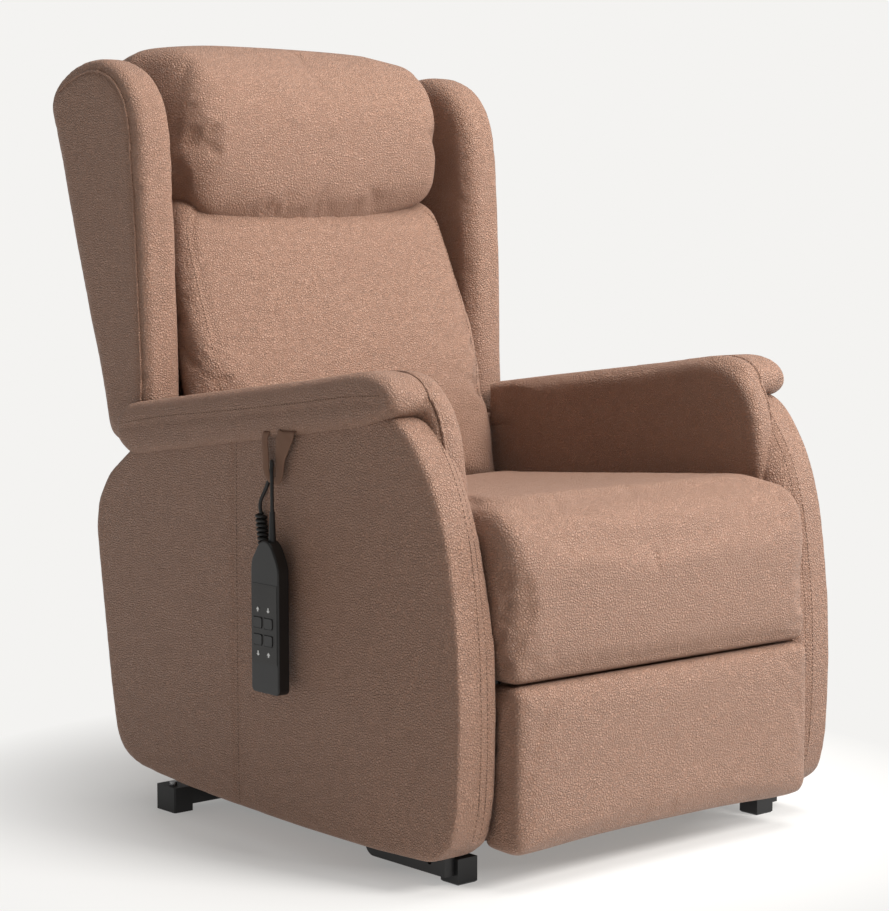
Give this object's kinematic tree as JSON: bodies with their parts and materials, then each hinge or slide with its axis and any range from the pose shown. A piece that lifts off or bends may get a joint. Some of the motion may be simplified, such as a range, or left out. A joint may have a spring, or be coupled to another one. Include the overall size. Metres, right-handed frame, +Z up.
{
  "type": "lift recliner chair",
  "caption": "Winged lift recliner armchair with padded arms, roll-front seat, drop-down footrest, steel lifting base and a wired handset hanging at the side.",
  "frame": {"origin": "middle of the chair's footprint on the floor, measured with the handset and without the cord", "axes": "-Y is the front that the sitter faces, +X is the sitter's left, +Z is up"},
  "size_m": [0.7456, 0.9296, 1.066],
  "materials": {
    "black_steel": "satin powder coat",
    "plated_steel": "zinc plated",
    "faux_leather": "pebble-grained coated fabric, soft sheen",
    "wood": "raw board",
    "black_plastic": "fine texture",
    "handset_shell": "satin",
    "button": "satin",
    "cable": "matt",
    "strap": "coated fabric loop, darker than the cover"
  },
  "bodies": {
    "base": {"base_side_tubes": "black_steel", "base_cross_tubes": "black_steel", "front_runners": "black_steel", "front_feet": "black_plastic", "rear_feet": "black_plastic", "foot_screws": "plated_steel", "base_link_brackets": "black_steel", "base_pivot_pins": "plated_steel", "lift_actuator_clevis": "black_steel"},
    "lift_links": {"front_lift_links": "black_steel", "torque_tube": "black_steel", "torque_tube_levers": "black_steel"},
    "rear_links": {"rear_lift_links": "black_steel"},
    "lift_actuator": {"lift_actuator_housing": "black_plastic"},
    "lift_rod": {"lift_actuator_rod": "black_steel"},
    "carriage": {"carriage_plates": "black_steel", "carriage_cross_tubes": "black_steel", "carriage_pivot_pins": "plated_steel", "recline_actuator_clevis": "black_steel", "seat_board": "wood", "seat_cushion": "faux_leather", "arm_frames": "wood", "arm_core_left": "faux_leather", "arm_core_right": "faux_leather", "side_panel_left": "faux_leather", "side_panel_right": "faux_leather", "arm_pad_left": "faux_leather", "arm_pad_right": "faux_leather", "power_box": "black_plastic", "mains_inlet": "black_plastic", "handset_strap": "strap", "handset_front": "handset_shell", "handset_rear": "handset_shell", "cable_strain_relief": "cable", "handset_cable": "cable", "cable_coil": "cable", "cable_tail": "cable", "cable_gland": "black_plastic"},
    "footrest_front_links": {"footrest_front_links": "black_steel"},
    "footrest_rear_links": {"footrest_rear_links": "black_steel"},
    "footrest": {"footrest_brackets": "black_steel", "footrest_board": "wood", "footrest_cushion": "faux_leather", "footrest_head_pins": "plated_steel"},
    "back": {"back_uprights": "black_steel", "back_rails": "black_steel", "back_brackets": "black_steel", "recline_levers": "black_steel", "back_rear_cover": "faux_leather", "inner_back_panel": "faux_leather", "back_cushion": "faux_leather", "head_cushion": "faux_leather", "wing_left": "faux_leather", "wing_right": "faux_leather"},
    "recline_actuator": {"recline_actuator_housing": "black_plastic"},
    "recline_rod": {"recline_actuator_rod": "black_steel"},
    "button_seat_up": {"button_seat_up": "button"},
    "button_back_up": {"button_back_up": "button"},
    "button_seat_down": {"button_seat_down": "button"},
    "button_back_down": {"button_back_down": "button"}
  },
  "joints": [
    {"name": "chair_lift", "type": "hinge", "parent": "base", "child": "lift_links", "pos_m": [0.0148, -0.22565, 0.088], "axis": [1, 0, 0], "range_deg": [0, 75]},
    {"name": "carriage_tilt", "type": "hinge", "parent": "lift_links", "child": "carriage", "pos_m": [0.0148, -0.06885, 0.09], "axis": [1, 0, 0], "range_deg": [-52, 0]},
    {"name": "rear_link_swing", "type": "hinge", "parent": "base", "child": "rear_links", "pos_m": [0.0148, -0.10885, 0.09], "axis": [1, 0, 0], "range_deg": [0, 58.6]},
    {"name": "lift_actuator_tilt", "type": "hinge", "parent": "base", "child": "lift_actuator", "pos_m": [0.0148, 0.06175, 0.1223], "axis": [1, 0, 0], "range_deg": [0, 6]},
    {"name": "lift_rod_slide", "type": "slide", "parent": "lift_actuator", "child": "lift_rod", "axis": [0, -0.9907, 0.1363], "range_m": [0, 0.0866]},
    {"name": "back_recline", "type": "hinge", "parent": "carriage", "child": "back", "pos_m": [0.0148, 0.16115, 0.36], "axis": [-1, 0, 0], "range_deg": [0, 40]},
    {"name": "recline_actuator_tilt", "type": "hinge", "parent": "carriage", "child": "recline_actuator", "pos_m": [0.0148, -0.07885, 0.222], "axis": [-1, 0, 0], "range_deg": [0, 4]},
    {"name": "recline_rod_slide", "type": "slide", "parent": "recline_actuator", "child": "recline_rod", "axis": [0, 0.9989, 0.0458], "range_m": [-0.095, 0]},
    {"name": "footrest_extend", "type": "hinge", "parent": "carriage", "child": "footrest_front_links", "pos_m": [0.0148, -0.36845, 0.2545], "axis": [-1, 0, 0], "range_deg": [0, 124.4]},
    {"name": "footrest_tilt", "type": "hinge", "parent": "footrest_front_links", "child": "footrest", "pos_m": [0.0148, -0.27065, 0.2444], "axis": [-1, 0, 0], "range_deg": [-57, 0]},
    {"name": "footrest_rear_link_swing", "type": "hinge", "parent": "carriage", "child": "footrest_rear_links", "pos_m": [0.0148, -0.37795, 0.2302], "axis": [-1, 0, 0], "range_deg": [0, 111]},
    {"name": "press_seat_up", "type": "slide", "parent": "carriage", "child": "button_seat_up", "axis": [1, 0, 0], "range_m": [0, 0.0015], "stiffness_N_per_m": 900, "springref_m": -0.0008},
    {"name": "press_back_up", "type": "slide", "parent": "carriage", "child": "button_back_up", "axis": [1, 0, 0], "range_m": [0, 0.0015], "stiffness_N_per_m": 900, "springref_m": -0.0008},
    {"name": "press_seat_down", "type": "slide", "parent": "carriage", "child": "button_seat_down", "axis": [1, 0, 0], "range_m": [0, 0.0015], "stiffness_N_per_m": 900, "springref_m": -0.0008},
    {"name": "press_back_down", "type": "slide", "parent": "carriage", "child": "button_back_down", "axis": [1, 0, 0], "range_m": [0, 0.0015], "stiffness_N_per_m": 900, "springref_m": -0.0008}
  ],
  "couplings": [
    {"joint": "carriage_tilt", "follows": "chair_lift", "ratio": -0.68686},
    {"joint": "rear_link_swing", "follows": "chair_lift", "ratio": 0.77891},
    {"joint": "lift_actuator_tilt", "follows": "chair_lift", "ratio": 0.077367},
    {"joint": "lift_rod_slide", "follows": "chair_lift", "m_per_rad": 0.065825},
    {"joint": "recline_actuator_tilt", "follows": "back_recline", "ratio": 0.096504},
    {"joint": "recline_rod_slide", "follows": "back_recline", "m_per_rad": -0.13539},
    {"joint": "footrest_tilt", "follows": "footrest_extend", "ratio": -0.45377},
    {"joint": "footrest_rear_link_swing", "follows": "footrest_extend", "ratio": 0.88408}
  ]
}
